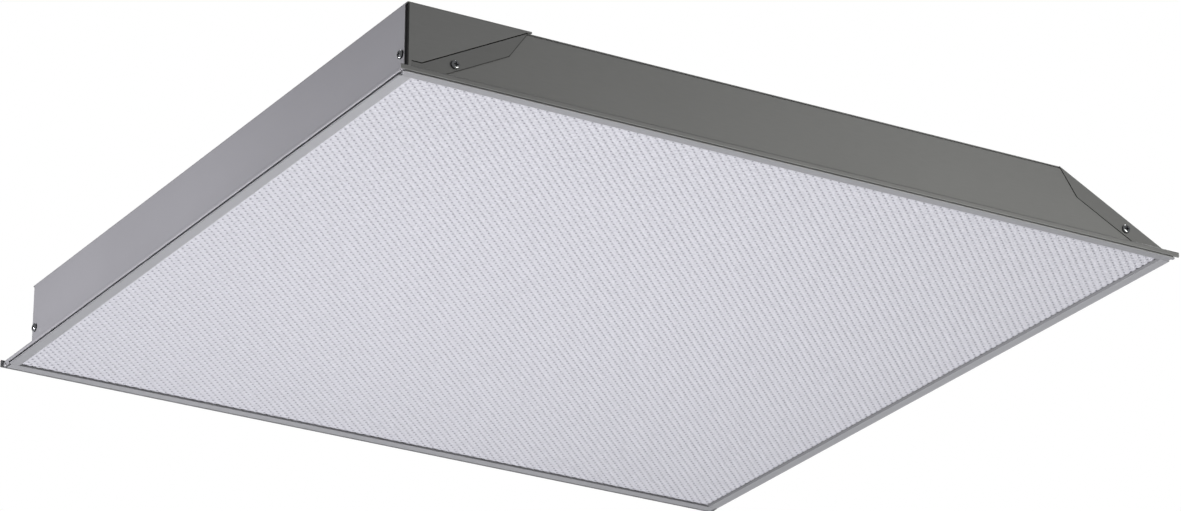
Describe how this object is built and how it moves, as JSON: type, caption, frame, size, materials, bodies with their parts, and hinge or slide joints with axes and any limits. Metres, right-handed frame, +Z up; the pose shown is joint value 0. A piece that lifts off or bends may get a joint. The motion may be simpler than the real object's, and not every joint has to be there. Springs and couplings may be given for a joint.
{
  "type": "recessed troffer light",
  "caption": "Shallow lay-in ceiling light with sloped-sided steel housing, side wiring compartment, LED boards and a hinged frame that holds a prismatic lens.",
  "frame": {"origin": "centre of the flange's underside, level with the face that lies on the ceiling grid", "axes": "+Z up into the ceiling, +X along the front face away from the wiring compartment, +Y from the front lip to the hinged rear"},
  "size_m": [0.603, 0.603, 0.051],
  "materials": {
    "housing_steel": "satin bare galvanised grey",
    "zinc_screw": "bright zinc plated",
    "green_screw": "green lacquered steel",
    "frame_aluminium": "satin pale grey",
    "bright_steel": "plain rolled",
    "spring_steel": "drawn wire",
    "black_plastic": "moulded",
    "acetal": "natural white",
    "prismatic_acrylic": "clear white acrylic, prismatic underside",
    "board_white": "white solder mask on aluminium",
    "led_phosphor": "yellow phosphor in a white package",
    "rivet_nylon": "natural nylon",
    "grommet_rubber": "moulded",
    "driver_steel": "white enamel",
    "lead_red_black": "PVC insulation",
    "lead_white": "PVC insulation",
    "lead_mains": "PVC insulation",
    "lead_green": "PVC insulation",
    "block_plastic": "moulded polyamide"
  },
  "bodies": {
    "housing": {"board_connectors": "acetal", "board_jumpers": "lead_white", "board_rivets": "rivet_nylon", "catch_bodies": "black_plastic", "catch_brackets": "bright_steel", "catch_screws": "zinc_screw", "catch_springs": "spring_steel", "cover_screws": "zinc_screw", "driver_base": "driver_steel", "driver_case": "driver_steel", "driver_compartment_cover": "housing_steel", "driver_end_caps": "black_plastic", "driver_screws": "zinc_screw", "front_compartment_end": "housing_steel", "front_end_plate": "housing_steel", "ground_lead": "lead_green", "ground_screw": "green_screw", "ground_washer": "zinc_screw", "hinge_pins": "bright_steel", "housing_pan": "housing_steel", "lead_grommet": "grommet_rubber", "led_board_centre": "board_white", "led_board_left": "board_white", "led_board_right": "board_white", "led_packages_centre": "led_phosphor", "led_packages_left": "led_phosphor", "led_packages_right": "led_phosphor", "mains_leads": "lead_mains", "output_leads": "lead_red_black", "rear_compartment_end": "housing_steel", "rear_end_plate": "housing_steel", "tab_screws": "zinc_screw", "terminal_block": "block_plastic", "terminal_block_screw": "zinc_screw"},
    "door": {"front_rail": "frame_aluminium", "rear_rail": "frame_aluminium", "left_stile": "frame_aluminium", "right_stile": "frame_aluminium", "frame_corner_keys": "bright_steel", "prismatic_lens": "prismatic_acrylic", "lens_clips": "bright_steel", "strike_plates": "bright_steel", "keeper_bars": "bright_steel"},
    "plunger_left": {"catch_plunger_left": "acetal"},
    "plunger_right": {"catch_plunger_right": "acetal"}
  },
  "joints": [
    {"name": "door_swing", "type": "hinge", "parent": "housing", "child": "door", "pos_m": [0, 0.29805, 0.0015], "axis": [1, 0, 0], "range_deg": [0, 90]},
    {"name": "catch_left", "type": "slide", "parent": "housing", "child": "plunger_left", "axis": [0, 1, 0], "range_m": [0, 0.0012], "stiffness_N_per_m": 800, "springref_m": -0.002},
    {"name": "catch_right", "type": "slide", "parent": "housing", "child": "plunger_right", "axis": [0, 1, 0], "range_m": [0, 0.0012], "stiffness_N_per_m": 800, "springref_m": -0.002}
  ]
}
